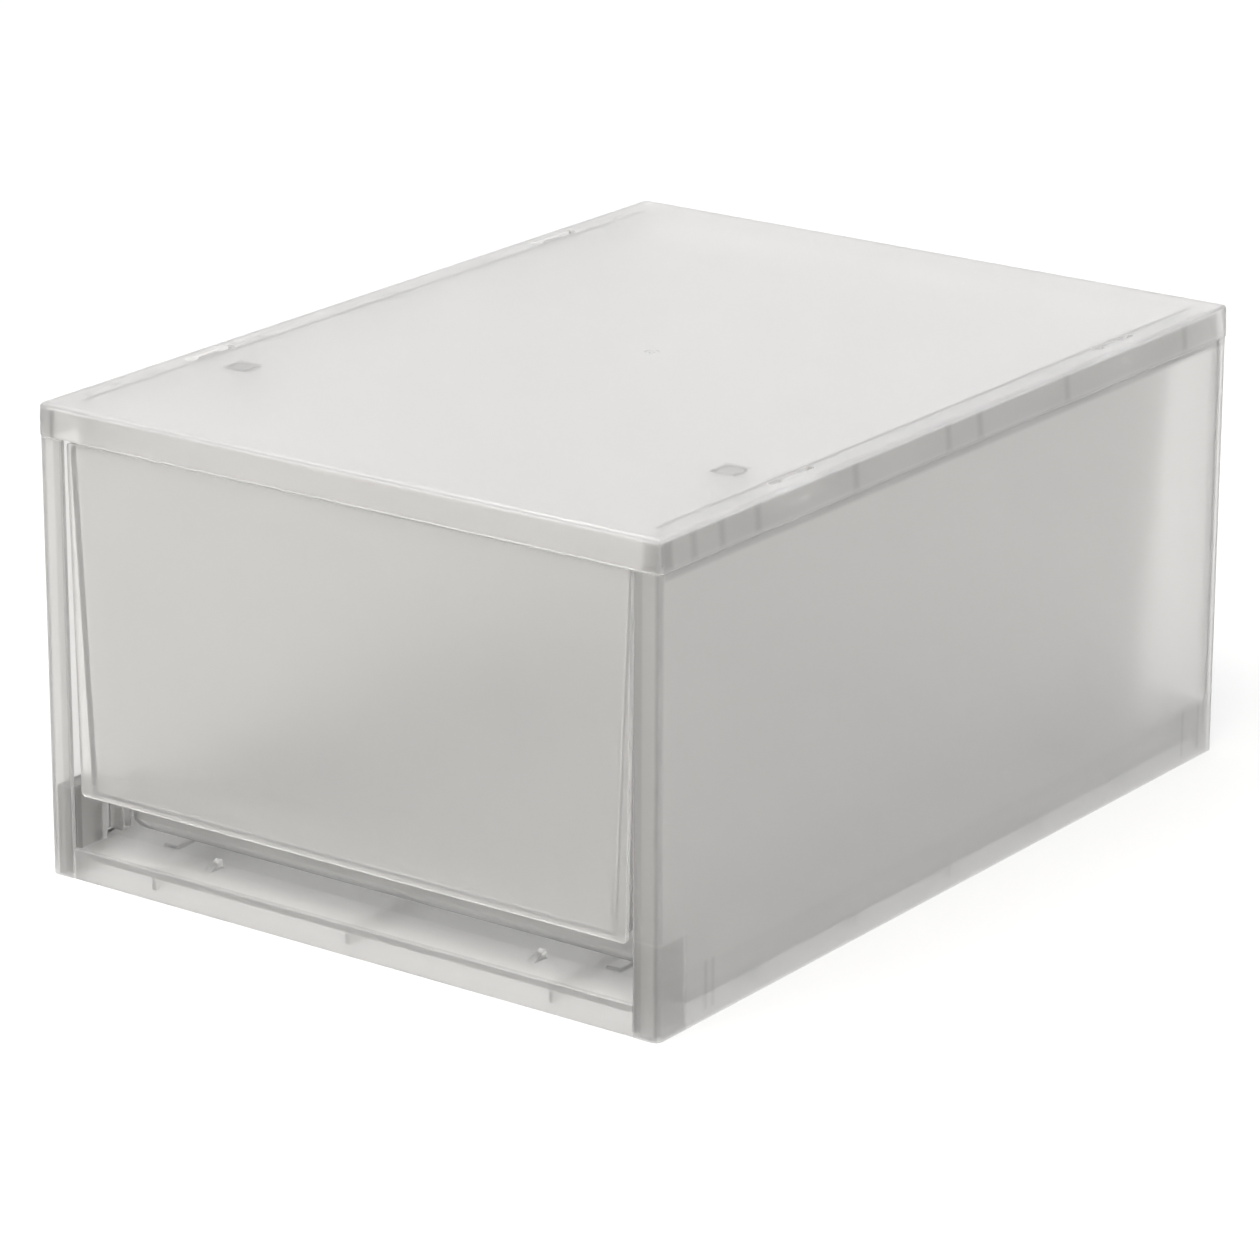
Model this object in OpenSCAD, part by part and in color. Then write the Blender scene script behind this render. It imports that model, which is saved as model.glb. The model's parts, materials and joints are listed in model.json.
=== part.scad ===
// Stackable shoe storage case with one pull-out drawer, moulded in natural
// translucent polypropylene. Five snapped panels make the outer case and one
// drafted tub makes the drawer.
// Origin: middle of the footprint, on the surface that the case stands on.
// +X is to the right, +Y to the back, +Z up. The drawer opens towards -Y.

/* [Case] */
// Width over the two side panels
case_w = 260; // [250:1:300]
// Depth from the front posts to the back
case_d = 350; // [340:1:400]
// Height over everything
case_h = 170; // [160:1:200]
// Wall of the side, back and base panels
wall = 2; // [1.6:0.1:2.2]
// Radius of the upright outer corners
corner_r = 2.5; // [2.4:0.1:4]

/* [Top panel] */
// Height of the skirt round the top panel
skirt_h = 11.5; // [10.5:0.5:14]
// Wall of the skirt
skirt_wall = 1.8; // [1.4:0.1:2]
// How far the skirt leans in at its top
skirt_lean = 0.9; // [0.5:0.1:1.2]
// Radius of the skirt's top edge
edge_r = 1.2; // [0.8:0.1:1.6]
// Length of each latch slot
slot_l = 24; // [20:1:28]
// Width of each latch slot
slot_w = 3.4; // [3:0.1:3.6]
// Side of the square drawer stops under the top
stop_side = 10; // [8:0.5:12]

/* [Side panels] */
// Width of the front posts, seen from the front
post_w = 10; // [9:0.5:11]
// Width of the rear flanges, seen from the back
rear_flange_w = 5; // [4:0.5:7]

/* [Base panel] */
// Height of the deck's upper face
deck_z = 10; // [9:0.5:12]
// Height of the lip on the front rail, over the deck
lip_h = 1.2; // [0.8:0.1:2]
// Height of the side rails
rail_z = 20; // [18:0.5:24]
// Height of the two front corner towers
tower_z = 33; // [30:0.5:36]
// Depth of the two front corner towers
tower_d = 16; // [14:0.5:18]

/* [Drawer] */
// Half the angle by which the tub narrows, in degrees
draft = 2.6; // [2:0.1:3]
// Wall of the tub
tub_wall = 1.8; // [1.6:0.1:2.2]
// Height of the tub's underside
tub_z = 14; // [13.8:0.1:15]
// Height of the bottom edge of the front plate
plate_z = 31; // [28:0.5:33]
// Depth of the finger recess under the front plate
recess_d = 20; // [18:0.5:24]
// How far the drawer pulls out
travel = 250; // [220:1:255]

/* [Hidden] */
$fn = 48;
eps = 0.01;
// Clearance between panels that snap together
fit = 0.3;
front_y = -case_d / 2;
back_y = case_d / 2;
skirt_z = case_h - skirt_h;
top_under_z = case_h - wall;
// The case's walls stand a little inside the skirt's lower edge
body_w = case_w - 0.8;
inner_x = body_w / 2 - wall;
post_x = body_w / 2 - post_w;
side_top_z = skirt_z - fit;
// Upright tongue of the side panels, inside the skirt
tongue_wall = 1.6;
tongue_x = case_w / 2 - skirt_wall - skirt_lean - tongue_wall - 0.2;
// Latch slots, counted from the middle of the case
slot_x = case_w / 2 - 7.5;
slot_ys = [front_y + 82, front_y + 281.5];
latch_l = 10;
// Ribs under the top panel
rib_wall = 1.4;
rib_x = slot_x - slot_w / 2 - rib_wall - 0.2;
rib_low_z = skirt_z - 4;
rib_ys = [for (y = [18.6, 34, 54, 110, 165.5, 185, 240.5, 319.5]) front_y + y];
// The back panel stands in a groove between the rear flange and a rib
back_wall = 1.8;
back_outer_y = back_y - wall - 0.1;
// The tub, from the front plate to its rear wall
plate_wall = 2;
plate_y = front_y + 1.2;
plate_top_z = skirt_z - 0.9;
plate_gap_top = 1.6;
plate_gap_low = 3.6;
rim_z = plate_top_z - 1.6;
rim_h = 2.2;
rim_x = post_x - 0.7;
tub_x = post_x - 2.1;
tub_rear_y = back_y - 16.5;
recess_y = plate_y + recess_d;
stop_clear = 0.5;
stop_rear_y = tub_rear_y - tub_wall - travel - stop_clear;
wedge_x = 69.5;
wedge_rear_y = front_y + 19;
// The drawer's skids run on two strips as high as the front rail's lip
runner_x = 95;
runner_z = deck_z + lip_h;
// Inside faces of the base panel's front rail and outer faces of its side rails
base_front_y = front_y + wall + 0.2;
base_x = inner_x - fit;
tower_skin = 1.5;

// Points of an arc round [cx, cy], from angle a0 to a1.
function arc(cx, cy, r, a0, a1, steps = 5) =
    [for (i = [0:steps]) let (a = a0 + (a1 - a0) * i / steps) [cx + r * cos(a), cy + r * sin(a)]];

// Both sides of the case, the second one mirrored.
module both_sides() {
    children();
    mirror([1, 0, 0]) children();
}

// Block from its lowest to its highest corner.
module block(low, high) {
    translate(low) cube(high - low);
}

// Outline drawn in Y and Z, carried along X from x0 to x1.
module along_x(x0, x1) {
    translate([x0, 0, 0]) rotate([90, 0, 90]) linear_extrude(x1 - x0) children();
}

// Outline drawn in X and Z, carried along Y from y0 to y1.
module along_y(y0, y1) {
    translate([0, y1, 0]) rotate([90, 0, 0]) linear_extrude(y1 - y0) children();
}

// Rectangle with round corners, centred.
module round_rect(w, d, r) {
    square([w - 2 * r, d], center = true);
    square([w, d - 2 * r], center = true);
    for (sx = [-1, 1], sy = [-1, 1]) {
        translate([sx * (w / 2 - r), sy * (d / 2 - r)]) circle(r);
    }
}

// Trapezium that leans in by lean at each side, with round top corners.
module lean_profile(w, h, lean, r) {
    right = arc(w / 2 - lean - r, h - r, r, 0, 90);
    left = arc(-w / 2 + lean + r, h - r, r, 90, 180);
    polygon(concat([[-w / 2, 0], [w / 2, 0]], right, left));
}

// Low block whose four sides lean in, with round corners and top edge.
module lean_block(w, d, h, lean, r, top_r) {
    intersection() {
        along_y(-d, d) lean_profile(w, h, lean, top_r);
        along_x(-w, w) lean_profile(d, h, lean, top_r);
        linear_extrude(h) round_rect(w, d, r);
    }
}

// ---- Top panel -------------------------------------------------------------

// Plate and skirt in one shell.
module top_shell() {
    inner_w = case_w - 2 * skirt_wall;
    inner_d = case_d - 2 * skirt_wall;
    inner_r = corner_r - skirt_wall;
    translate([0, 0, skirt_z]) difference() {
        lean_block(case_w, case_d, skirt_h, skirt_lean, corner_r, edge_r);
        translate([0, 0, -eps]) {
            lean_block(inner_w, inner_d, skirt_h - wall + eps, skirt_lean, inner_r, inner_r);
        }
    }
}

// Long rib beside the slots and the cross ribs that tie it to the skirt.
module top_ribs() {
    cross_x = tongue_x - fit;
    block([rib_x, front_y + 12, rib_low_z], [rib_x + rib_wall, back_y - 12, top_under_z + eps]);
    for (y = rib_ys) {
        block([rib_x, y - rib_wall / 2, rib_low_z], [cross_x, y + rib_wall / 2, top_under_z + eps]);
    }
}

// Hollow square boss that the drawer's rear wall meets when it is fully out.
module drawer_stop() {
    stop_x = 103;
    hollow = stop_side - 3;
    low_z = rim_z - 4;
    mid_y = stop_rear_y - stop_side / 2;
    translate([stop_x, mid_y, low_z]) difference() {
        translate([0, 0, (top_under_z - low_z) / 2]) {
            cube([stop_side, stop_side, top_under_z - low_z + eps], center = true);
        }
        translate([0, 0, -eps]) linear_extrude(top_under_z - low_z) {
            square(hollow, center = true);
        }
    }
}

// Latch slots through the plate.
module top_slots() {
    for (y = slot_ys) {
        translate([slot_x, y, top_under_z - 1]) linear_extrude(wall + 2) {
            round_rect(slot_w, slot_l, 0.8);
        }
    }
}

// Shallow ring that the moulding gate leaves in the middle of the plate.
module gate_mark() {
    translate([0, 0, case_h - 0.3]) difference() {
        cylinder(h = 1, r = 2.6);
        translate([0, 0, -1]) cylinder(h = 3, r = 1.1);
    }
}

module top_panel() {
    color("gainsboro") difference() {
        union() {
            top_shell();
            both_sides() top_ribs();
            both_sides() drawer_stop();
        }
        both_sides() top_slots();
        gate_mark();
    }
}

// ---- Side panels -----------------------------------------------------------

// Section through a side panel: front post, wall and rear flange.
module side_section() {
    difference() {
        intersection() {
            round_rect(body_w, case_d, corner_r);
            translate([post_x, front_y]) square([case_w, case_d]);
        }
        round_rect(body_w - 2 * wall, case_d - 2 * wall, corner_r - wall);
        translate([0, 0]) square([body_w / 2 - rear_flange_w, case_d]);
    }
}

// Upright tongue that stands inside the skirt, on a narrow ledge.
module side_tongue() {
    tongue_front = front_y + 4;
    tongue_back = back_y - 6;
    block([tongue_x, tongue_front, side_top_z - 1.8], [inner_x + eps, tongue_back, side_top_z]);
    block([tongue_x, tongue_front, side_top_z - eps],
          [tongue_x + tongue_wall, tongue_back, top_under_z - fit]);
}

// Latches that rise into the slots of the top panel.
module side_latches() {
    latch_x = slot_x - slot_w / 2 + 0.4;
    for (y = slot_ys) {
        block([latch_x, y - latch_l / 2, top_under_z - 6],
              [tongue_x + eps, y + latch_l / 2, top_under_z - fit]);
        block([latch_x, y - latch_l / 2, top_under_z - fit - eps],
              [latch_x + slot_w - 0.8, y + latch_l / 2, case_h - 0.5]);
    }
}

// Upright rib that grips the back panel against the rear flange.
module groove_rib() {
    rib_depth = 3;
    rib_y = back_outer_y - back_wall - 0.2 - rib_wall;
    block([inner_x - rib_depth, rib_y, rail_z + 2], [inner_x + eps, rib_y + rib_wall, side_top_z - 1]);
}

module side_panel() {
    linear_extrude(side_top_z) side_section();
    side_tongue();
    side_latches();
    groove_rib();
}

module right_side_panel() {
    color("silver") side_panel();
}

module left_side_panel() {
    color("silver") mirror([1, 0, 0]) side_panel();
}

// ---- Back panel ------------------------------------------------------------

module back_panel() {
    panel_x = inner_x - fit;
    field_x = body_w / 2 - rear_flange_w - 6;
    field_low = rail_z + 8;
    field_high = skirt_z - 8;
    field_step = 1.2;
    skirt_step = 0.9;
    panel_y = back_outer_y - back_wall;
    color("silver") difference() {
        union() {
            block([-panel_x, panel_y, 0], [panel_x, back_outer_y, top_under_z - fit]);
            block([-field_x, panel_y, field_low], [field_x, back_outer_y + field_step, field_high]);
        }
        block([-field_x + wall, panel_y - 1, field_low + wall],
              [field_x - wall, panel_y + field_step, field_high - wall]);
        // Step that lets the panel's top edge stand inside the leaning skirt
        block([-case_w, back_outer_y - skirt_step, side_top_z], [case_w, back_y, case_h]);
        // Corner notches that clear the tongues of the side panels
        both_sides() {
            block([tongue_x - fit, panel_y - 1, side_top_z - 2.1], [case_w, back_y, case_h]);
        }
    }
}

// ---- Base panel ------------------------------------------------------------

// Deck, with the front rail, the back rail and the two side rails round it.
module base_tray() {
    rail_wall = 1.6;
    rail_back = back_outer_y - back_wall - fit;
    block([-base_x, base_front_y, deck_z - wall], [base_x, rail_back, deck_z]);
    block([-post_x + 0.1, front_y + 0.2, 0], [post_x - 0.1, base_front_y + eps, deck_z + lip_h]);
    block([-base_x, rail_back - wall, 0], [base_x, rail_back, rail_z]);
    both_sides() block([base_x - rail_wall, base_front_y, 0], [base_x, rail_back, rail_z]);
}

// Low strips on the deck, behind the finger recess, that the skids run on.
module deck_runners() {
    half_w = 3;
    block([runner_x - half_w, recess_y + 2, deck_z - eps], [runner_x + half_w, back_y - 20, runner_z]);
}

// Tower behind each front post.
module corner_tower() {
    block([post_x, base_front_y, 0], [base_x, base_front_y + tower_d, tower_z]);
}

// Hollow of a tower, open from below through the deck.
module tower_hollow() {
    block([post_x + tower_skin, base_front_y + tower_skin, -1],
          [base_x - tower_skin, base_front_y + tower_d - tower_skin, tower_z - tower_skin]);
}

// Pairs of webs that stiffen the side rails: one behind each tower, one in each rear corner.
module rail_webs() {
    for (y = [front_y + 26, front_y + 30, back_y - 23, back_y - 12]) {
        block([post_x, y, deck_z - eps], [base_x - eps, y + rib_wall, rail_z]);
    }
}

// Upright rib that keeps the drawer straight as it slides.
module drawer_guide() {
    gap = 1.4;
    guide_h = 6;
    guide_x = tub_x - (rim_z - tub_z) * tan(draft) + gap;
    block([guide_x, front_y + 36, deck_z - eps], [guide_x + rib_wall, back_y - 26, deck_z + guide_h]);
}

// Small ramp with an upright rear face that holds the drawer in the case.
module wedge_stop() {
    rise = 3.2;
    run = 7;
    low = deck_z - eps;
    along_x(wedge_x - 1.5, wedge_x + 1.5) {
        polygon([[wedge_rear_y - run, low], [wedge_rear_y, low], [wedge_rear_y, deck_z + rise]]);
    }
}

// Ribs under the deck, clear of the floor.
module deck_ribs() {
    low_z = 3;
    span_x = inner_x - 2;
    for (x = [-85, 0, 85]) {
        block([x - 0.8, front_y + 3, low_z], [x + 0.8, back_y - 6, deck_z - wall + eps]);
    }
    for (y = [-116, -58, 0, 58, 116]) {
        block([-span_x, y - 0.8, low_z], [span_x, y + 0.8, deck_z - wall + eps]);
    }
}

module base_panel() {
    color("lightgray") difference() {
        union() {
            base_tray();
            both_sides() corner_tower();
            both_sides() rail_webs();
            both_sides() drawer_guide();
            both_sides() deck_runners();
            both_sides() wedge_stop();
            deck_ribs();
        }
        both_sides() tower_hollow();
    }
}

// ---- Drawer ----------------------------------------------------------------

// Thin slab of the tub's plan at height z, inset all round by inset.
module tub_slab(z, inset) {
    narrow = (rim_z - z) * tan(draft);
    half_w = tub_x - narrow - inset;
    low_y = plate_y + inset;
    high_y = tub_rear_y - narrow - inset;
    front_r = 3;
    rear_r = 10;
    translate([0, 0, z]) linear_extrude(eps) hull() {
        for (side = [-1, 1]) {
            translate([side * (half_w - front_r), low_y + front_r]) circle(front_r, $fn = 32);
            translate([side * (half_w - rear_r), high_y - rear_r]) circle(rear_r, $fn = 32);
        }
    }
}

// Solid that narrows from the rim down to height z.
module tub_solid(z, inset) {
    hull() {
        tub_slab(z, inset);
        tub_slab(rim_z + 2 * inset, inset);
    }
}

// Space of the finger recess, grown by grow to take in its walls.
module recess_space(grow) {
    ceiling_rise = 3.2;
    rear = recess_y + grow;
    top_front = plate_z + grow;
    along_x(-case_w / 2, case_w / 2) {
        polygon([
            [front_y - 5, tub_z - 5],
            [rear, tub_z - 5],
            [rear, top_front + ceiling_rise],
            [front_y - 5, top_front],
        ]);
    }
}

// Rolled rim along the sides and the back of the tub.
module tub_rim() {
    rim_back = tub_rear_y + 1.2;
    translate([0, 0, rim_z - rim_h]) linear_extrude(rim_h) difference() {
        translate([0, (plate_y + rim_back) / 2]) round_rect(2 * rim_x, rim_back - plate_y, 8);
        translate([0, (plate_y + tub_rear_y - tub_wall) / 2 - 5]) {
            round_rect(2 * (tub_x - tub_wall), tub_rear_y - tub_wall - plate_y + 10, 7);
        }
        translate([-case_w, front_y - 1]) square([2 * case_w, plate_y - front_y + 1 + plate_wall]);
    }
}

// Front plate, a little narrower at its foot than at its top.
module front_plate() {
    top_x = post_x - plate_gap_top;
    low_x = post_x - plate_gap_low;
    r = 1.5;
    along_y(plate_y, plate_y + plate_wall) {
        polygon(concat(
            arc(low_x - r, plate_z + r, r, -90, 0),
            arc(top_x - r, plate_top_z - r, r, 0, 90),
            arc(-top_x + r, plate_top_z - r, r, 90, 180),
            arc(-low_x + r, plate_z + r, r, 180, 270)
        ));
    }
}

// Two skids that run on the strips, and the cross rib that meets the wedges.
module tub_skids() {
    low_z = runner_z + 0.2;
    rib_x_end = wedge_x + 15;
    rib_y = wedge_rear_y + travel + stop_clear;
    both_sides() {
        block([runner_x - 1, recess_y + 2, low_z], [runner_x + 1, back_y - 30, tub_z + eps]);
    }
    block([-rib_x_end, rib_y, deck_z + 0.8], [rib_x_end, rib_y + tub_wall, tub_z + eps]);
}

module drawer() {
    color("whitesmoke") {
        difference() {
            tub_solid(tub_z, 0);
            difference() {
                tub_solid(tub_z + tub_wall, tub_wall);
                recess_space(tub_wall);
            }
            recess_space(0);
        }
        tub_rim();
        front_plate();
        tub_skids();
    }
}

base_panel();
left_side_panel();
right_side_panel();
back_panel();
top_panel();
drawer();
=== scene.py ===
"""Looks for a translucent shoe storage case with one pull-out drawer.

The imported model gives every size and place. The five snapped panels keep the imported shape: each is a
merged copy with rounded arrises, because a moulding has no sharp edge. The drawer tub is a new surface,
lofted from its floor to its rolled rim. Lengths are in metres, +Z up, and the drawer opens towards -Y.
"""

import json
import logging
import math
from dataclasses import dataclass
from enum import Enum

import bmesh
import bpy
import numpy as np
from mathutils import Matrix, Vector

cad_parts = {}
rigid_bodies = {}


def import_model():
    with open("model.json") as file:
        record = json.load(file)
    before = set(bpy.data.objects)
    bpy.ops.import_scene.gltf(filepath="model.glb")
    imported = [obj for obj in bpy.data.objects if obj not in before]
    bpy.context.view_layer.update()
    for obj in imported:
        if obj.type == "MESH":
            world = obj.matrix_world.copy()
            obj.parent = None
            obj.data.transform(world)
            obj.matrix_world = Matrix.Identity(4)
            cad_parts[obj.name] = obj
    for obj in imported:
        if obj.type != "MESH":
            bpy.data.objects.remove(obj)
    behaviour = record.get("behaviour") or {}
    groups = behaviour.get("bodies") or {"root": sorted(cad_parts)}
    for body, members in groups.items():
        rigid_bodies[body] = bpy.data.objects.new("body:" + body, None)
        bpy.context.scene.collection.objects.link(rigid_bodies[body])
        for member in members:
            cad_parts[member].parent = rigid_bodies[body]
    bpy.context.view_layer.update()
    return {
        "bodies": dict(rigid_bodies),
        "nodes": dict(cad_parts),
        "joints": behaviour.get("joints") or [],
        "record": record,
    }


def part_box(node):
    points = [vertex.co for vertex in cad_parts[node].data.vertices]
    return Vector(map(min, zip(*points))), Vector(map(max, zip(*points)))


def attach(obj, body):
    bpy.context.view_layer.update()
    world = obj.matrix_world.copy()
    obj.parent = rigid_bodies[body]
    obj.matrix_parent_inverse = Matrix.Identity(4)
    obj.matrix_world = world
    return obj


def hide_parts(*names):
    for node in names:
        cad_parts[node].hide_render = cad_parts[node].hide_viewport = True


LOG = logging.getLogger("shoe_case")
MM = 0.001
SAME_POINT = 0.002 * MM
SAME_PLANE = math.radians(0.5)
DRAWER_ARRIS = 0.25 * MM


class Body(Enum):
    """The two bodies of the case."""

    CASE = "case"
    DRAWER = "drawer"


class Slot(Enum):
    """The record's material slots."""

    CASE = "case_plastic"
    TOP = "top_plastic"
    DRAWER = "drawer_plastic"


# ---- Node groups ------------------------------------------------------------


def new_group(
    name: str, inputs: dict[str, tuple[str, object]], outputs: dict[str, str]
) -> bpy.types.NodeTree:
    """Makes an empty shader node group with named sockets.

    Args:
        name: the group's name.
        inputs: socket name to (socket type, default value).
        outputs: socket name to socket type.

    Returns:
        The group, holding only its Group Input and Group Output nodes.
    """
    group = bpy.data.node_groups.new(name, "ShaderNodeTree")
    for socket, (kind, default) in inputs.items():
        made = group.interface.new_socket(name=socket, in_out="INPUT", socket_type=kind)
        made.default_value = default
    for socket, kind in outputs.items():
        group.interface.new_socket(name=socket, in_out="OUTPUT", socket_type=kind)
    group.nodes.new("NodeGroupInput")
    group.nodes.new("NodeGroupOutput")
    return group


def math_node(tree: bpy.types.NodeTree, operation: str, a: object, b: object = None) -> bpy.types.NodeSocket:
    """Adds a Math node.

    Args:
        tree: the node tree.
        operation: the Math operation, such as "MULTIPLY".
        a: first value, a socket or a number.
        b: second value, a socket or a number, or None for a one-value operation.

    Returns:
        The node's output socket.
    """
    node = tree.nodes.new("ShaderNodeMath")
    node.operation = operation
    for socket, value in zip(node.inputs, (a, b)):
        if isinstance(value, bpy.types.NodeSocket):
            tree.links.new(value, socket)
        elif value is not None:
            socket.default_value = value
    return node.outputs[0]


def noise_node(tree: bpy.types.NodeTree, scale: float, detail: float) -> bpy.types.Node:
    """Adds a noise texture that follows the object's own coordinates.

    Args:
        tree: the node tree.
        scale: cells per metre.
        detail: octaves.

    Returns:
        The noise node.
    """
    place = tree.nodes.new("ShaderNodeTexCoord")
    noise = tree.nodes.new("ShaderNodeTexNoise")
    noise.inputs["Scale"].default_value = scale
    noise.inputs["Detail"].default_value = detail
    tree.links.new(place.outputs["Object"], noise.inputs["Vector"])
    return noise


class SatinGrain:
    """Fine spark-eroded texture of a moulding tool, as a height and a roughness."""

    NAME = "Satin grain"
    GRAIN_SCALE, GRAIN_DETAIL = 900.0, 2.0
    CLOUD_SCALE, CLOUD_DETAIL = 14.0, 4.0

    @classmethod
    def group(cls) -> bpy.types.NodeTree:
        """Builds the group once.

        Returns:
            The node group: Roughness and Spread in, Height and Roughness out.
        """
        if cls.NAME in bpy.data.node_groups:
            return bpy.data.node_groups[cls.NAME]
        group = new_group(
            cls.NAME,
            {"Roughness": ("NodeSocketFloat", 0.35), "Spread": ("NodeSocketFloat", 0.06)},
            {"Height": "NodeSocketFloat", "Roughness": "NodeSocketFloat"},
        )
        entry = group.nodes["Group Input"]
        leave = group.nodes["Group Output"]
        grain = noise_node(group, cls.GRAIN_SCALE, cls.GRAIN_DETAIL)
        cloud = noise_node(group, cls.CLOUD_SCALE, cls.CLOUD_DETAIL)
        swing = math_node(group, "SUBTRACT", cloud.outputs["Fac"], 0.5)
        swing = math_node(group, "MULTIPLY", swing, entry.outputs["Spread"])
        rough = math_node(group, "ADD", swing, entry.outputs["Roughness"])
        group.links.new(grain.outputs["Fac"], leave.inputs["Height"])
        group.links.new(rough, leave.inputs["Roughness"])
        return group


class MeltFlow:
    """Faint cloudy streaks that the melt leaves as it runs out from the gate."""

    NAME = "Melt flow"
    SCALE, DETAIL = 9.0, 5.0
    ROUGHNESS, DISTORTION = 0.6, 0.8

    @classmethod
    def group(cls) -> bpy.types.NodeTree:
        """Builds the group once.

        Returns:
            The node group: two colours and a strength in, the mixed colour out.
        """
        if cls.NAME in bpy.data.node_groups:
            return bpy.data.node_groups[cls.NAME]
        group = new_group(
            cls.NAME,
            {
                "Clear": ("NodeSocketColor", (0.9, 0.9, 0.9, 1.0)),
                "Milky": ("NodeSocketColor", (0.8, 0.8, 0.8, 1.0)),
                "Strength": ("NodeSocketFloat", 0.5),
            },
            {"Color": "NodeSocketColor"},
        )
        entry = group.nodes["Group Input"]
        leave = group.nodes["Group Output"]
        cloud = noise_node(group, cls.SCALE, cls.DETAIL)
        cloud.inputs["Roughness"].default_value = cls.ROUGHNESS
        cloud.inputs["Distortion"].default_value = cls.DISTORTION
        share = math_node(group, "MULTIPLY", cloud.outputs["Fac"], entry.outputs["Strength"])
        mix = group.nodes.new("ShaderNodeMix")
        mix.data_type = "RGBA"
        group.links.new(share, mix.inputs["Factor"])
        group.links.new(entry.outputs["Clear"], mix.inputs[6])
        group.links.new(entry.outputs["Milky"], mix.inputs[7])
        group.links.new(mix.outputs[2], leave.inputs["Color"])
        return group


class ShadeAndLightBox:
    """Mask of a soft-edged box, mirrored left to right, where shade or light is painted into a wall's
    colour.
    """

    NAME = "Dense box"

    @classmethod
    def group(cls) -> bpy.types.NodeTree:
        """Builds the group once.

        The mask is 1 inside the box and 0 outside. Across its edge it falls in a straight line over Soft.

        Returns:
            The node group: Centre, Half and Soft in, Mask out.
        """
        if cls.NAME in bpy.data.node_groups:
            return bpy.data.node_groups[cls.NAME]
        group = new_group(
            cls.NAME,
            {
                "Centre": ("NodeSocketVector", (0.0, 0.0, 0.0)),
                "Half": ("NodeSocketVector", (0.01, 0.01, 0.01)),
                "Soft": ("NodeSocketFloat", 0.001),
            },
            {"Mask": "NodeSocketFloat"},
        )
        entry = group.nodes["Group Input"]
        leave = group.nodes["Group Output"]
        place = group.nodes.new("ShaderNodeTexCoord")
        apart = group.nodes.new("ShaderNodeSeparateXYZ")
        group.links.new(place.outputs["Object"], apart.inputs["Vector"])
        folded = group.nodes.new("ShaderNodeCombineXYZ")
        group.links.new(math_node(group, "ABSOLUTE", apart.outputs["X"]), folded.inputs["X"])
        group.links.new(apart.outputs["Y"], folded.inputs["Y"])
        group.links.new(apart.outputs["Z"], folded.inputs["Z"])
        at = folded.outputs["Vector"]
        for operation, other in (("SUBTRACT", "Centre"), ("ABSOLUTE", None), ("SUBTRACT", "Half")):
            step = group.nodes.new("ShaderNodeVectorMath")
            step.operation = operation
            group.links.new(at, step.inputs[0])
            if other:
                group.links.new(entry.outputs[other], step.inputs[1])
            at = step.outputs["Vector"]
        past = group.nodes.new("ShaderNodeSeparateXYZ")
        group.links.new(at, past.inputs["Vector"])
        far = math_node(group, "MAXIMUM", past.outputs["X"], past.outputs["Y"])
        far = math_node(group, "MAXIMUM", far, past.outputs["Z"])
        fall = math_node(group, "SUBTRACT", 0.5, math_node(group, "DIVIDE", far, entry.outputs["Soft"]))
        fall.node.use_clamp = True
        group.links.new(fall, leave.inputs["Mask"])
        return group


# ---- Finishes ---------------------------------------------------------------


@dataclass(frozen=True)
class ShadeAndLightSpot:
    """A box, mirrored left to right, where shade (factor under 1) or light (over 1) is painted into the
    plastic's colour.
    """

    centre: tuple[float, float, float]
    half: tuple[float, float, float]
    shade_factor: float
    soft: float

    @classmethod
    def at(cls, centre: tuple, half: tuple, shade_factor: float, soft: float) -> "ShadeAndLightSpot":
        """Makes a spot from sizes in millimetres.

        Args:
            centre: the middle of the box on the right.
            half: half its size along each axis.
            shade_factor: what the colour is multiplied by inside it.
            soft: the width over which it fades.

        Returns:
            The spot.
        """
        return cls(tuple(v * MM for v in centre), tuple(v * MM for v in half), shade_factor, soft * MM)

    def mask(self, tree: bpy.types.NodeTree) -> bpy.types.NodeSocket:
        """Adds the spot's mask.

        Args:
            tree: the material's node tree.

        Returns:
            The mask's socket.
        """
        box = tree.nodes.new("ShaderNodeGroup")
        box.node_tree = ShadeAndLightBox.group()
        box.inputs["Centre"].default_value = self.centre
        box.inputs["Half"].default_value = self.half
        box.inputs["Soft"].default_value = self.soft
        return box.outputs["Mask"]


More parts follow.
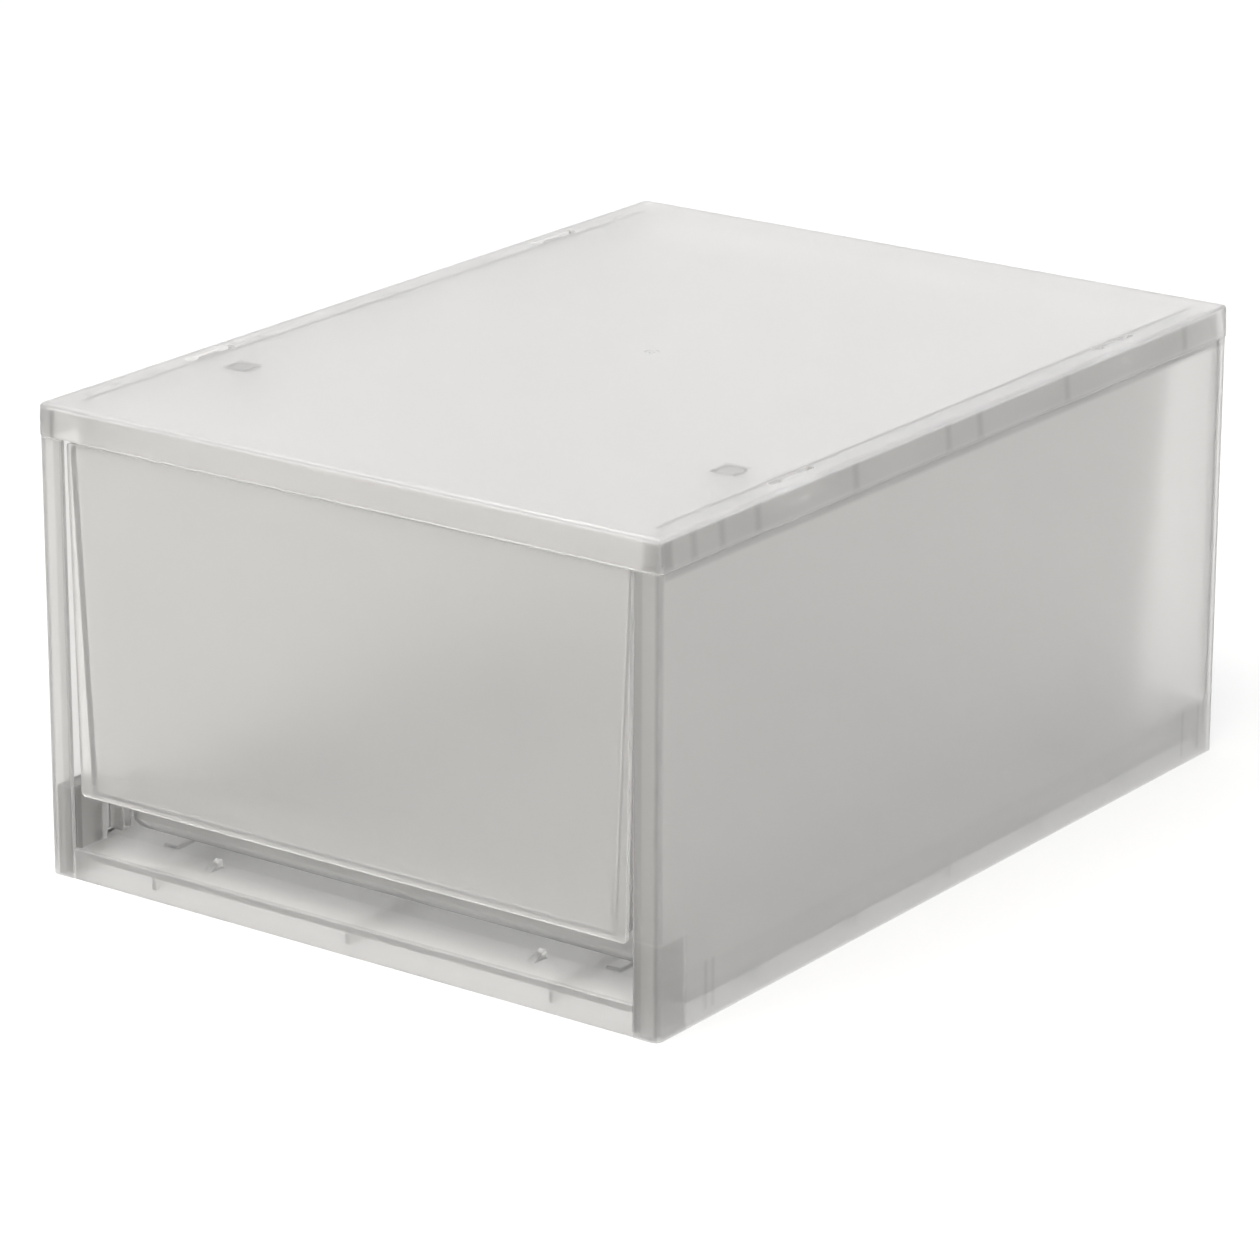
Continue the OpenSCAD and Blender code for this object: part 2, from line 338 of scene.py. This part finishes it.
class PaintedShadeAndLight:
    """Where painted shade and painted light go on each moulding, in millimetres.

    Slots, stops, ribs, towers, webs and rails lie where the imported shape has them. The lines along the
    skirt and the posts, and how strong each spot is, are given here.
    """

    RIB_YS = (-156.4, -141.0, -121.0, -65.0, -9.5, 10.0, 65.5, 144.5)
    SLOT_YS = (-93.0, 106.5)
    WEB_YS = (-148.3, -144.3, 152.7, 163.7)
    POST_Z, POST_HALF_Z = 80.0, 78.0
    # Painted light in the slots of the top, so that they look bright white.
    SLOT_LIGHT = tuple(ShadeAndLightSpot.at((122.5, y, 168.5), (2.0, 12.4, 3.0), 1.13, 0.4) for y in SLOT_YS)
    # Painted light over the finger recess.
    RECESS_LIGHT = (ShadeAndLightSpot.at((0.0, -163.0, 20.0), (118.0, 9.5, 12.0), 1.1, 1.0),)
    # Painted shade where the stops hang under the top.
    STOP_SHADE = (ShadeAndLightSpot.at((103.0, -98.8, 168.0), (5.0, 5.0, 4.0), 0.8, 0.8),)
    # Painted shade lines round the foot and the top of the skirt, a painted dark block at the front corner
    # and a painted shade strip along the skirt's side.
    SKIRT_SHADE = (
        ShadeAndLightSpot.at((65.0, 0.0, 158.8), (80.0, 190.0, 0.35), 0.82, 0.4),
        ShadeAndLightSpot.at((65.0, 0.0, 169.0), (80.0, 190.0, 0.35), 0.9, 0.4),
        ShadeAndLightSpot.at((127.0, -172.0, 163.5), (4.0, 4.0, 4.5), 0.72, 2.0),
        ShadeAndLightSpot.at((129.0, 0.0, 164.0), (1.8, 172.0, 4.2), 0.9, 1.2),
    )
    # Painted shade where each rib stands behind the skirt.
    RIB_SHADE = tuple(ShadeAndLightSpot.at((129.0, y, 163.8), (2.5, 1.6, 4.2), 0.8, 2.4) for y in RIB_YS)
    # Painted shade band under the skirt.
    UNDER_SKIRT_SHADE = (ShadeAndLightSpot.at((130.0, 0.0, 156.9), (4.0, 172.0, 1.3), 0.78, 1.2),)
    # Painted shade on the posts: a dark line at the inner edge, a band beside it, a dark outer corner and a
    # band up the face.
    POST_SHADE = (
        ShadeAndLightSpot.at((119.8, -174.0, POST_Z), (0.45, 4.0, POST_HALF_Z), 0.7, 0.4),
        ShadeAndLightSpot.at((121.2, -174.0, POST_Z), (1.8, 4.0, POST_HALF_Z), 0.82, 0.8),
        ShadeAndLightSpot.at((129.4, -174.4, POST_Z), (1.4, 1.4, POST_HALF_Z), 0.62, 1.0),
        ShadeAndLightSpot.at((124.6, -174.5, 96.0), (5.4, 2.2, 62.0), 0.88, 0.8),
    )
    # Painted shade on the corner towers.
    TOWER_SHADE = (ShadeAndLightSpot.at((125.0, -167.0, 16.0), (5.5, 8.0, 17.0), 0.85, 0.8),)
    # Painted shade along the side rails and the front rail.
    RAIL_SHADE = (
        ShadeAndLightSpot.at((129.0, 0.0, 10.0), (3.0, 176.0, 10.0), 0.97, 1.5),
        ShadeAndLightSpot.at((0.0, -174.5, 5.0), (119.0, 2.5, 8.0), 0.84, 0.8),
    )
    # Painted shade on the webs.
    WEB_SHADE = tuple(ShadeAndLightSpot.at((129.0, y, 12.0), (2.5, 0.8, 8.5), 0.84, 1.2) for y in WEB_YS)

    TOP = SLOT_LIGHT + STOP_SHADE + SKIRT_SHADE + RIB_SHADE
    CASE = SLOT_LIGHT + RECESS_LIGHT + UNDER_SKIRT_SHADE + POST_SHADE + TOWER_SHADE + RAIL_SHADE + WEB_SHADE
    DRAWER = RECESS_LIGHT


@dataclass(frozen=True)
class Polypropylene:
    """Natural translucent polypropylene with a moulded satin texture.

    The colour is the melt flow's, multiplied by one factor for each spot of painted shade or light: 1
    outside the spot's box, and inside it under 1 where shade is painted and over 1 where light is painted.
    """

    name: str
    clear: tuple[float, float, float] = (0.88, 0.876, 0.868)
    milky: tuple[float, float, float] = (0.84, 0.834, 0.822)
    through: float = 0.92
    roughness: float = 0.3
    grain_height: float = 0.00002
    refraction: float = 1.49
    painted_spots: tuple[ShadeAndLightSpot, ...] = ()

    def build(self) -> bpy.types.Material:
        """Makes the material.

        Returns:
            A Principled material whose colour, roughness and bump come from the shared groups.
        """
        material = bpy.data.materials.new(self.name)
        material.use_nodes = True
        tree = material.node_tree
        surface = tree.nodes["Principled BSDF"]
        surface.inputs["Metallic"].default_value = 0.0
        surface.inputs["IOR"].default_value = self.refraction
        surface.inputs["Transmission Weight"].default_value = self.through
        flow = tree.nodes.new("ShaderNodeGroup")
        flow.node_tree = MeltFlow.group()
        flow.inputs["Clear"].default_value = (*self.clear, 1.0)
        flow.inputs["Milky"].default_value = (*self.milky, 1.0)
        shade = None
        # Each spot paints shade (factor under 1) or light (factor over 1) into the colour.
        for spot in self.painted_spots:
            step = math_node(tree, "MULTIPLY_ADD", spot.mask(tree), spot.shade_factor - 1.0)
            step.node.inputs[2].default_value = 1.0
            shade = step if shade is None else math_node(tree, "MULTIPLY", shade, step)
        colour = flow.outputs["Color"]
        if shade is not None:
            scale = tree.nodes.new("ShaderNodeVectorMath")
            scale.operation = "SCALE"
            tree.links.new(colour, scale.inputs[0])
            tree.links.new(shade, scale.inputs["Scale"])
            colour = scale.outputs["Vector"]
        tree.links.new(colour, surface.inputs["Base Color"])
        grain = tree.nodes.new("ShaderNodeGroup")
        grain.node_tree = SatinGrain.group()
        grain.inputs["Roughness"].default_value = self.roughness
        tree.links.new(grain.outputs["Roughness"], surface.inputs["Roughness"])
        bump = tree.nodes.new("ShaderNodeBump")
        bump.inputs["Distance"].default_value = self.grain_height
        tree.links.new(grain.outputs["Height"], bump.inputs["Height"])
        tree.links.new(bump.outputs["Normal"], surface.inputs["Normal"])
        return material


# ---- Meshes -----------------------------------------------------------------


def put_in_scene(name: str, mesh: bpy.types.Mesh) -> bpy.types.Object:
    """Links a mesh to the scene as an object at the origin.

    Args:
        name: the piece's name.
        mesh: its mesh, already in place.

    Returns:
        The new object.
    """
    piece = bpy.data.objects.new(name, mesh)
    bpy.context.scene.collection.objects.link(piece)
    return piece


def loft(name: str, rings: np.ndarray) -> bpy.types.Mesh:
    """Makes a closed surface from a stack of rings.

    Point i of a ring joins point i + 1 of the same ring and point i of the next ring, and the first and
    last rings are closed by flat caps.

    Args:
        name: the mesh's name.
        rings: array of rings, points and coordinates.

    Returns:
        The mesh, with its faces turned outwards.
    """
    count, points, _ = rings.shape
    at = np.arange(count * points).reshape(count, points)
    nxt = np.roll(at, -1, axis=1)
    quads = np.stack([at[:-1], nxt[:-1], nxt[1:], at[1:]], axis=-1).reshape(-1, 4)
    faces = quads.tolist() + [at[0, ::-1].tolist(), at[-1].tolist()]
    mesh = bpy.data.meshes.new(name)
    mesh.from_pydata(rings.reshape(-1, 3).tolist(), [], faces)
    merge(mesh, turn_out=True, flatten=False)
    return mesh


def merge(mesh: bpy.types.Mesh, turn_out: bool = False, flatten: bool = True) -> None:
    """Merges doubled points and, where asked, joins the faces that lie in one plane.

    Args:
        mesh: the mesh to clean.
        turn_out: whether to work out again which way the faces point.
        flatten: whether to join the faces that lie in one plane.
    """
    shape = bmesh.new()
    shape.from_mesh(mesh)
    bmesh.ops.remove_doubles(shape, verts=shape.verts, dist=SAME_POINT)
    bmesh.ops.dissolve_degenerate(shape, edges=shape.edges, dist=SAME_POINT)
    if flatten:
        bmesh.ops.dissolve_limit(shape, angle_limit=SAME_PLANE, verts=shape.verts, edges=shape.edges)
    if turn_out:
        bmesh.ops.recalc_face_normals(shape, faces=shape.faces)
    shape.to_mesh(mesh)
    shape.free()


def split_broad_faces(mesh: bpy.types.Mesh) -> None:
    """Cuts every face of more than four corners into triangles, so that rounding can't fold it.

    Args:
        mesh: the mesh to cut.
    """
    shape = bmesh.new()
    shape.from_mesh(mesh)
    bmesh.ops.triangulate(shape, faces=[face for face in shape.faces if len(face.verts) > 4])
    shape.to_mesh(mesh)
    shape.free()


def union(name: str, parts: list[bpy.types.Mesh]) -> bpy.types.Mesh:
    """Joins closed meshes that overlap into one closed skin.

    Args:
        name: the new mesh's name.
        parts: the closed meshes, the largest first.

    Returns:
        The joined mesh.
    """
    pieces = [put_in_scene(f"{name}_{i}", part) for i, part in enumerate(parts)]
    for other in pieces[1:]:
        join = pieces[0].modifiers.new(other.name, "BOOLEAN")
        join.operation = "UNION"
        join.solver = "EXACT"
        join.object = other
    evaluated = pieces[0].evaluated_get(bpy.context.evaluated_depsgraph_get())
    mesh = bpy.data.meshes.new_from_object(evaluated)
    mesh.name = name
    for piece in pieces:
        bpy.data.objects.remove(piece)
    merge(mesh, flatten=False)
    return mesh


@dataclass(frozen=True)
class Arris:
    """How the sharp edges of a moulding are rounded."""

    radius: float = 0.4 * MM
    steps: int = 2
    crease: float = math.radians(28)
    room: float = 2.4
    least: float = 0.12
    clear_sine: float = 0.05

    def weights(self, mesh: bpy.types.Mesh) -> np.ndarray:
        """Works out how much of the radius each edge can take.

        An edge is rounded where its two faces turn by more than the crease. Its share is the length of the
        shortest edge that leaves either end at a clear angle, over room times the radius, and at most 1.

        Args:
            mesh: a merged closed mesh.

        Returns:
            One share from 0 to 1 for each edge.
        """
        edges = len(mesh.edges)
        points = np.empty(len(mesh.vertices) * 3)
        mesh.vertices.foreach_get("co", points)
        points = points.reshape(-1, 3)
        ends = np.empty(edges * 2, int)
        mesh.edges.foreach_get("vertices", ends)
        ends = ends.reshape(-1, 2)
        run = points[ends[:, 1]] - points[ends[:, 0]]
        length = np.linalg.norm(run, axis=1)
        way = run / np.maximum(length, 1e-12)[:, None]
        sharp = self.turn(mesh) > self.crease
        room = np.full(edges, np.inf)
        order = np.argsort(ends.ravel(), kind="stable")
        vertex = ends.ravel()[order]
        edge = order // 2
        for shift in range(1, int(np.bincount(vertex).max())):
            a, b = edge[:-shift], edge[shift:]
            meet = vertex[:-shift] == vertex[shift:]
            clear = np.linalg.norm(np.cross(way[a], way[b]), axis=1) > self.clear_sine
            pick = meet & clear
            np.minimum.at(room, a[pick], length[b[pick]])
            np.minimum.at(room, b[pick], length[a[pick]])
        share = np.clip(room / (self.room * self.radius), 0.0, 1.0)
        return np.where(sharp & (share > self.least), share, 0.0)

    @staticmethod
    def turn(mesh: bpy.types.Mesh) -> np.ndarray:
        """Measures the angle between the two faces of each edge.

        Args:
            mesh: a closed mesh.

        Returns:
            One angle for each edge, and 0 where an edge hasn't two faces.
        """
        normals = np.empty(len(mesh.polygons) * 3)
        mesh.polygons.foreach_get("normal", normals)
        normals = normals.reshape(-1, 3)
        sizes = np.empty(len(mesh.polygons), int)
        mesh.polygons.foreach_get("loop_total", sizes)
        owner = np.repeat(np.arange(len(mesh.polygons)), sizes)
        edge = np.empty(len(mesh.loops), int)
        mesh.loops.foreach_get("edge_index", edge)
        order = np.argsort(edge, kind="stable")
        edge, owner = edge[order], owner[order]
        pair = np.flatnonzero(edge[:-1] == edge[1:])
        cosine = (normals[owner[pair]] * normals[owner[pair + 1]]).sum(axis=1)
        angle = np.zeros(len(mesh.edges))
        angle[edge[pair]] = np.arccos(np.clip(cosine, -1.0, 1.0))
        return angle

    def apply(self, piece: bpy.types.Object) -> None:
        """Shades a piece smooth, rounds its sharp edges and keeps its flat faces flat.

        Args:
            piece: the piece to finish.
        """
        mesh = piece.data
        split_broad_faces(mesh)
        share = self.weights(mesh)
        layer = mesh.attributes.new("bevel_weight_edge", "FLOAT", "EDGE")
        layer.data.foreach_set("value", share.astype(np.float32))
        hard = mesh.attributes.get("sharp_edge") or mesh.attributes.new("sharp_edge", "BOOLEAN", "EDGE")
        hard.data.foreach_set("value", self.turn(mesh) > self.crease)
        mesh.polygons.foreach_set("use_smooth", np.ones(len(mesh.polygons), bool))
        round_over = piece.modifiers.new("arrises", "BEVEL")
        round_over.width = self.radius
        round_over.segments = self.steps
        round_over.limit_method = "WEIGHT"
        round_over.use_clamp_overlap = False
        flatten = piece.modifiers.new("flat_faces", "WEIGHTED_NORMAL")
        flatten.mode = "FACE_AREA"
        flatten.weight = 100
        flatten.keep_sharp = True


@dataclass
class Moulding:
    """One moulded piece, with the node, body and finish that it takes, and a slot that it keeps but doesn't
    use.
    """

    frame: dict
    node: str
    body: Body
    slot: Slot
    finish: bpy.types.Material
    arris: Arris = Arris()

    def shape(self) -> bpy.types.Mesh:
        """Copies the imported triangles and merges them."""
        mesh = self.frame["nodes"][self.node].data.copy()
        merge(mesh)
        return mesh

    def build(self) -> bpy.types.Object:
        """Makes the piece and hands it to its body.

        Returns:
            The finished piece.
        """
        mesh = self.shape()
        mesh.materials.clear()
        mesh.materials.append(self.finish)
        piece = put_in_scene(self.node + "_shell", mesh)
        self.arris.apply(piece)
        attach(piece, self.body.value)
        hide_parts(self.node)
        LOG.info("%s: %d faces before its arrises", piece.name, len(mesh.polygons))
        return piece


@dataclass
class DrawerTub(Moulding):
    """The drawer: a drafted tub with a rolled rim, a front plate, a finger recess and two skids."""

    draft: float = math.radians(2.6)
    wall: float = 1.8 * MM
    plate_wall: float = 2.0 * MM
    plate_foot: float = 31.0 * MM
    plate_taper: float = 2.0 * MM
    plate_ear: float = 0.9 * MM
    plate_corner: float = 1.5 * MM
    plate_clearance: float = 0.4 * MM
    sink: float = 0.2 * MM
    rib_taper: float = 0.2 * MM
    rim_drop: float = 1.6 * MM
    rim_height: float = 2.2 * MM
    rim_reach: float = 1.4 * MM
    rear_reach: float = 1.2 * MM
    rim_fade_from: float = 3.0 * MM
    rim_fade: float = 8.0 * MM
    floor: float = 14.0 * MM
    floor_fillet: float = 5.0 * MM
    recess_depth: float = 20.0 * MM
    recess_rise: float = 3.2 * MM
    recess_run_in: float = 6.2 * MM
    recess_corner: float = 2.0 * MM
    front_corner: float = 3.0 * MM
    rear_corner: float = 10.0 * MM
    skid_x: float = 95.0 * MM
    skid_wall: float = 2.0 * MM
    skid_foot: float = 11.4 * MM
    skid_setback: float = 14.0 * MM
    skid_rear: float = 145.0 * MM
    stop_half: float = 84.5 * MM
    stop_y: float = 94.5 * MM

    def __post_init__(self) -> None:
        """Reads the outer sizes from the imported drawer's box."""
        low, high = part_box(self.node)
        self.front = low[1]
        self.foot = low[2]
        self.top = high[2]
        self.rim = self.top - self.rim_drop
        self.side = high[0] - self.rim_reach
        self.rear = high[1] - self.rear_reach
        self.recess_y = self.front + self.recess_depth

    def ring(
        self, z: tuple[float, float, float], inset: float, front: float, shoulder: float, reach: float = 0.0
    ) -> np.ndarray:
        """Works out one closed ring of the tub.

        Half the ring runs from the middle of the front, round the front corner, along the side as far as
        the recess, on along the side, round the rear corner and to the middle of the back. The side lies
        at the rim's half width less the draft's share of the depth under the rim, and the back likewise.
        The other half is its mirror image.

        Args:
            z: height at the front, at the recess and at the back.
            inset: how far the ring lies inside the outer skin.
            front: how far to the front the ring reaches.
            shoulder: where the side's first stretch ends.
            reach: how far the rim stands out, which fades to nothing near the front plate.

        Returns:
            The ring's points.
        """
        z_front, z_mid, z_rear = z
        corner = self.front_corner if shoulder > front + 5 * MM else self.recess_corner
        rear_corner = self.rear_corner - inset
        turn = np.linspace(0.0, math.pi / 2, 7)
        half = self.side - inset - (self.rim - z_front) * math.tan(self.draft)
        rear_half = self.side - inset - (self.rim - z_rear) * math.tan(self.draft)
        rear = self.rear - inset - (self.rim - z_rear) * math.tan(self.draft)
        start = np.linspace(0.0, half - corner, 6)
        bend_x = half - corner + corner * np.sin(turn)
        bend_y = front + corner - corner * np.cos(turn)
        along_a = np.linspace(front + corner, max(shoulder, front + corner), 5)[1:]
        along_b = np.linspace(max(shoulder, front + corner), rear - rear_corner, 12)[1:]
        back_x = rear_half - rear_corner + rear_corner * np.cos(turn)
        back_y = rear - rear_corner + rear_corner * np.sin(turn)
        finish = np.linspace(rear_half - rear_corner, 0.0, 6)[1:]
        blend = np.linspace(0.0, 1.0, 4)
        x = np.concatenate([
            start, bend_x[1:], half + (rear_half - half) * blend, np.full(11, rear_half), back_x[1:], finish,
        ])
        y = np.concatenate([
            np.full(6, front), bend_y[1:], along_a, along_b, back_y[1:], np.full(5, rear),
        ])
        level = np.concatenate([
            np.full(12, z_front),
            z_front + (z_mid - z_front) * blend,
            np.full(11, z_mid),
            np.full(11, z_rear),
        ])
        grow = reach * np.clip((y - self.front - self.rim_fade_from) / self.rim_fade, 0.0, 1.0)
        x = x + grow * np.clip(x / half, 0.0, 1.0) * (x > half - rear_corner)
        y = y + grow * self.rear_reach / self.rim_reach * (y > rear - rear_corner)
        right = np.stack([x, y, level], axis=1)
        left = right[-2:0:-1] * (-1, 1, 1)
        return np.concatenate([right, left])

    def skin(self, inset: float, front: float, floor: float, fillet: float) -> list[np.ndarray]:
        """Works out one skin of the tub from its floor up to the foot of the rim.

        Args:
            inset: how far the skin lies inside the outer one.
            front: where its front lies.
            floor: height of its floor.
            fillet: radius between its floor and its walls.

        Returns:
            The skin's rings from the bottom up.
        """
        recess = self.recess_y + inset
        slope = self.recess_rise / (self.recess_depth + self.recess_run_in)
        ceiling_rear = self.plate_foot + inset + self.recess_rise
        ceiling_front = ceiling_rear - slope * (recess - front)
        rings = []
        for angle in np.linspace(0.0, math.pi / 2, 5):
            pull = fillet * (1 - math.sin(angle))
            z = floor + fillet * (1 - math.cos(angle))
            rings.append(self.ring((z, z, z), inset + pull, recess + pull, recess + pull))
        flat = (ceiling_rear,) * 3
        rings.append(self.ring(flat, inset, recess, recess))
        ceiling = (ceiling_front, ceiling_rear, ceiling_rear)
        rings.append(self.ring(ceiling, inset, front, recess + self.recess_corner))
        return rings

    def tub(self) -> bpy.types.Mesh:
        """Lofts the tub: up the outer skin, round the rolled rim and down the inner skin.

        The rim's section is half an ellipse, with the rim's height as one axis and its reach as half the
        other.

        Returns:
            The closed tub.
        """
        outer_front = self.front + self.sink
        inner_front = self.front + self.plate_wall - 3 * self.sink
        shoulder = self.recess_y + self.recess_corner
        rings = self.skin(0.0, outer_front, self.floor, self.floor_fillet)
        middle = self.rim - self.rim_height / 2
        for angle in np.linspace(-math.pi / 2, math.pi / 2, 9):
            z = middle + self.rim_height / 2 * math.sin(angle)
            reach = self.rim_reach * math.cos(angle)
            rings.append(self.ring((z, z, z), 0.0, outer_front, shoulder, reach))
        inner = self.skin(self.wall, inner_front, self.floor + self.wall, self.floor_fillet - MM)
        top = (self.rim,) * 3
        rings.append(self.ring(top, self.wall, inner_front, shoulder))
        return loft("tub", np.stack(rings + inner[::-1]))

    def plate(self) -> bpy.types.Mesh:
        """Makes the front plate, a slab with round corners that is narrower at its foot.

        Returns:
            The closed plate.
        """
        r = self.plate_corner
        top_x = self.side + self.plate_ear - self.plate_clearance
        low_x = top_x - self.plate_taper
        turn = np.linspace(0.0, math.pi / 2, 6)
        x = np.concatenate([low_x - r + r * np.sin(turn), top_x - r + r * np.cos(turn)])
        z = np.concatenate([self.plate_foot + r - r * np.cos(turn), self.top - r + r * np.sin(turn)])
        x, z = np.concatenate([x, -x[::-1]]), np.concatenate([z, z[::-1]])
        depths = (self.front, self.front + self.plate_wall)
        return loft("plate", np.stack([np.stack([x, np.full_like(x, y), z], axis=1) for y in depths]))

    def bar(self, x: tuple[float, float], y: tuple[float, float], foot: float) -> bpy.types.Mesh:
        """Makes a rib under the tub's floor, a little narrower at its foot.

        Args:
            x: its ends across.
            y: its ends front to back.
            foot: the height of its foot.

        Returns:
            The closed rib, let into the floor.
        """
        levels = ((foot, self.rib_taper), (self.floor + self.wall / 3, 0.0))
        rings = [
            [
                (x[0] + t, y[0] + t, z),
                (x[1] - t, y[0] + t, z),
                (x[1] - t, y[1] - t, z),
                (x[0] + t, y[1] - t, z),
            ]
            for z, t in levels
        ]
        return loft("rib", np.array(rings))

    def shape(self) -> bpy.types.Mesh:
        """Joins the tub, the plate, the skids and the stop rib into one moulding."""
        half = self.skid_wall / 2
        run = (self.recess_y + self.skid_setback, self.skid_rear)
        skids = [
            self.bar((side * self.skid_x - half, side * self.skid_x + half), run, self.skid_foot)
            for side in (-1, 1)
        ]
        stop = self.bar((-self.stop_half, self.stop_half), (self.stop_y, self.stop_y + self.wall), self.foot)
        return union("drawer_moulding", [self.tub(), self.plate(), *skids, stop])


# ---- Studio -----------------------------------------------------------------


@dataclass
class Studio:
    """Pale glowing floor, an even sky, two softboxes in front and the camera."""

    camera_at: tuple[float, float, float] = (1.09361, -1.51445, 0.69404)
    azimuth: float = 36.06
    tilt: float = 18.54
    roll: float = 0.15
    lens: float = 158.76
    sensor: float = 36.0
    far_clip: float = 50.0
    horizon: tuple[float, float, float] = (1.16, 1.14, 1.11)
    zenith: tuple[float, float, float] = (1.05, 1.09, 1.2)
    softbox_at: tuple[float, float, float] = (1.05, -1.35, 2.3)
    softbox_aim: tuple[float, float, float] = (0.0, 0.0, 0.1)
    softbox_left: float = -0.75
    softbox_size: float = 1.6
    softbox_power: float = 85.0
    softbox_colour: tuple[float, float, float] = (1.0, 0.965, 0.91)
    floor_paint: tuple[float, float, float] = (0.22, 0.22, 0.215)
    floor_glow: float = 0.58
    floor_half: float = 3.0
    wall_crossings: int = 48
    glossy_bounces: int = 16
    diffuse_bounces: int = 8

    def place_camera(self) -> None:
        """Puts the camera to the right of the front, looking slightly down."""
        data = bpy.data.cameras.new("camera")
        data.lens = self.lens
        data.sensor_width = self.sensor
        data.clip_end = self.far_clip
        camera = bpy.data.objects.new("camera", data)
        bpy.context.scene.collection.objects.link(camera)
        turn = (
            Matrix.Rotation(math.radians(self.azimuth), 4, "Z")
            @ Matrix.Rotation(math.radians(90 - self.tilt), 4, "X")
            @ Matrix.Rotation(math.radians(self.roll), 4, "Z")
        )
        camera.matrix_world = Matrix.Translation(self.camera_at) @ turn
        bpy.context.scene.camera = camera

    def lay_floor(self) -> None:
        """Lays a pale floor that glows a little, as a light table does."""
        half = self.floor_half
        mesh = bpy.data.meshes.new("floor")
        corners = [(-half, -half, 0.0), (half, -half, 0.0), (half, half, 0.0), (-half, half, 0.0)]
        mesh.from_pydata(corners, [], [(0, 1, 2, 3)])
        floor = put_in_scene("floor", mesh)
        material = bpy.data.materials.new("floor_paint")
        material.use_nodes = True
        surface = material.node_tree.nodes["Principled BSDF"]
        surface.inputs["Base Color"].default_value = (*self.floor_paint, 1.0)
        surface.inputs["Roughness"].default_value = 0.9
        surface.inputs["Emission Color"].default_value = (1.0, 1.0, 1.0, 1.0)
        surface.inputs["Emission Strength"].default_value = self.floor_glow
        mesh.materials.append(material)

    def light(self) -> None:
        """Lights the case with an even sky, cooler overhead, and with two warm softboxes high in front."""
        world = bpy.data.worlds.new("studio")
        bpy.context.scene.world = world
        world.use_nodes = True
        tree = world.node_tree
        direction = tree.nodes.new("ShaderNodeTexCoord")
        split = tree.nodes.new("ShaderNodeSeparateXYZ")
        tree.links.new(direction.outputs["Generated"], split.inputs["Vector"])
        rise = math_node(tree, "MAXIMUM", split.outputs["Z"], 0.0)
        mix = tree.nodes.new("ShaderNodeMix")
        mix.data_type = "RGBA"
        tree.links.new(rise, mix.inputs["Factor"])
        mix.inputs[6].default_value = (*self.horizon, 1.0)
        mix.inputs[7].default_value = (*self.zenith, 1.0)
        tree.links.new(mix.outputs[2], tree.nodes["Background"].inputs["Color"])
        x, y, z = self.softbox_at
        for side, name in ((1.0, "right_softbox"), (self.softbox_left, "left_softbox")):
            self.softbox(name, (x * side, y, z))

    def softbox(self, name: str, at: tuple[float, float, float]) -> None:
        """Adds a square softbox that faces the case.

        Args:
            name: the light's name.
            at: where it stands.
        """
        data = bpy.data.lights.new(name, "AREA")
        data.size = self.softbox_size
        data.energy = self.softbox_power
        data.color = self.softbox_colour
        lamp = bpy.data.objects.new(name, data)
        bpy.context.scene.collection.objects.link(lamp)
        lamp.location = at
        lamp.rotation_euler = (Vector(self.softbox_aim) - Vector(at)).to_track_quat("-Z", "Y").to_euler()

    def let_light_through(self) -> None:
        """Lets a ray cross many plastic walls before it is given up."""
        paths = bpy.context.scene.cycles
        paths.max_bounces = self.wall_crossings
        paths.transmission_bounces = self.wall_crossings
        paths.glossy_bounces = self.glossy_bounces
        paths.diffuse_bounces = self.diffuse_bounces

    def build(self) -> None:
        """Sets up the whole studio."""
        self.place_camera()
        self.lay_floor()
        self.light()
        self.let_light_through()
        bpy.context.scene.view_settings.view_transform = "Standard"


def main() -> None:
    """Builds every piece in order."""
    logging.basicConfig(level=logging.INFO, format="%(name)s: %(message)s")
    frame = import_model()
    Studio().build()
    case_pp = Polypropylene("case_polypropylene", painted_spots=PaintedShadeAndLight.CASE).build()
    top_pp = Polypropylene("top_polypropylene", painted_spots=PaintedShadeAndLight.TOP).build()
    drawer_pp = Polypropylene("drawer_polypropylene", painted_spots=PaintedShadeAndLight.DRAWER).build()
    for node in ("base_panel", "left_side_panel", "right_side_panel", "back_panel"):
        Moulding(frame, node, Body.CASE, Slot.CASE, case_pp).build()
    Moulding(frame, "top_panel", Body.CASE, Slot.TOP, top_pp).build()
    DrawerTub(frame, "drawer", Body.DRAWER, Slot.DRAWER, drawer_pp, Arris(radius=DRAWER_ARRIS)).build()


if __name__ == "__main__":
    main()
